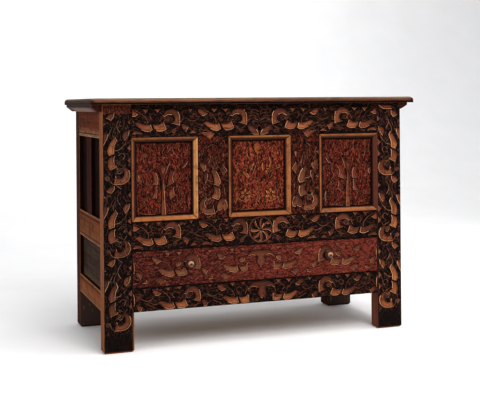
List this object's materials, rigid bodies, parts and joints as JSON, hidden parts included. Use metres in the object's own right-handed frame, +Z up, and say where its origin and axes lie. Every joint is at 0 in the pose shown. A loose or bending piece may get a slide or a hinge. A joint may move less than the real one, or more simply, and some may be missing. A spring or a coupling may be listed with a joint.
{
  "type": "joined chest with drawer",
  "caption": "Joined oak chest with hinged lid, carved and moulded front panels and a side-hung drawer below, on stile feet.",
  "frame": {"origin": "on the floor, under the centre of the chest's bounding box", "axes": "+X to the right along the front (longest extent), -Y out of the carved front, +Y to the back, +Z up"},
  "size_m": [1.184, 0.517, 0.841],
  "materials": {
    "carved_oak": "black ground, worn red-brown relief, satin",
    "carved_panel_oak": "dark red stained, satin",
    "carved_drawer_oak": "dark red stained, satin",
    "oak_moulding": "oiled, satin",
    "oak_frame": "old oak, satin",
    "side_panel_oak": "black-brown stain, matt",
    "rear_panel_pine": "unfinished, matt",
    "inner_pine": "unfinished, matt",
    "oak_pins": "cleft oak, matt",
    "turned_knob": "turned fruitwood, polished",
    "lid_pine": "worn red-brown, satin",
    "wrought_iron": "forged, blackened"
  },
  "bodies": {
    "chest": {"front_left_stile": "carved_oak", "front_right_stile": "carved_oak", "rear_left_stile": "oak_frame", "rear_right_stile": "oak_frame", "front_top_rail": "carved_oak", "front_middle_rail": "carved_oak", "front_bottom_rail": "carved_oak", "front_left_muntin": "carved_oak", "front_right_muntin": "carved_oak", "front_left_panel": "carved_panel_oak", "front_center_panel": "carved_panel_oak", "front_right_panel": "carved_panel_oak", "front_left_panel_moulding": "oak_moulding", "front_center_panel_moulding": "oak_moulding", "front_right_panel_moulding": "oak_moulding", "rear_top_rail": "oak_frame", "rear_middle_rail": "oak_frame", "rear_bottom_rail": "oak_frame", "rear_muntin": "oak_frame", "rear_left_panel": "rear_panel_pine", "rear_right_panel": "rear_panel_pine", "rear_lower_panel": "rear_panel_pine", "left_top_rail": "oak_frame", "left_middle_rail": "oak_frame", "left_bottom_rail": "oak_frame", "left_muntin": "oak_frame", "left_front_panel": "side_panel_oak", "left_rear_panel": "side_panel_oak", "left_lower_panel": "side_panel_oak", "left_drawer_runner": "inner_pine", "right_top_rail": "oak_frame", "right_middle_rail": "oak_frame", "right_bottom_rail": "oak_frame", "right_muntin": "oak_frame", "right_front_panel": "side_panel_oak", "right_rear_panel": "side_panel_oak", "right_lower_panel": "side_panel_oak", "right_drawer_runner": "inner_pine", "chest_floor_boards": "inner_pine", "front_joint_pins": "oak_pins", "rear_joint_pins": "oak_pins", "side_joint_pins": "oak_pins", "hinge_pins": "oak_pins", "lock_case": "wrought_iron"},
    "drawer": {"drawer_front": "carved_drawer_oak", "drawer_left_side": "inner_pine", "drawer_right_side": "inner_pine", "drawer_back": "inner_pine", "drawer_bottom_boards": "inner_pine", "left_drawer_knob": "turned_knob", "right_drawer_knob": "turned_knob", "drawer_nails": "wrought_iron"},
    "lid": {"lid_front_board": "lid_pine", "lid_rear_board": "lid_pine", "left_lid_cleat": "lid_pine", "right_lid_cleat": "lid_pine", "lid_pins": "oak_pins", "lid_staple": "wrought_iron"},
    "lock_bolt": {"lock_bolt": "wrought_iron"}
  },
  "joints": [
    {"name": "lid_hinge", "type": "hinge", "parent": "chest", "child": "lid", "pos_m": [0, 0.2485, 0.806], "axis": [-1, 0, 0], "range_deg": [0, 105]},
    {"name": "drawer_slide", "type": "slide", "parent": "chest", "child": "drawer", "axis": [0, -1, 0], "range_m": [0, 0.33]},
    {"name": "lock_bolt_slide", "type": "slide", "parent": "chest", "child": "lock_bolt", "axis": [-1, 0, 0], "range_m": [0, 0.012]}
  ]
}
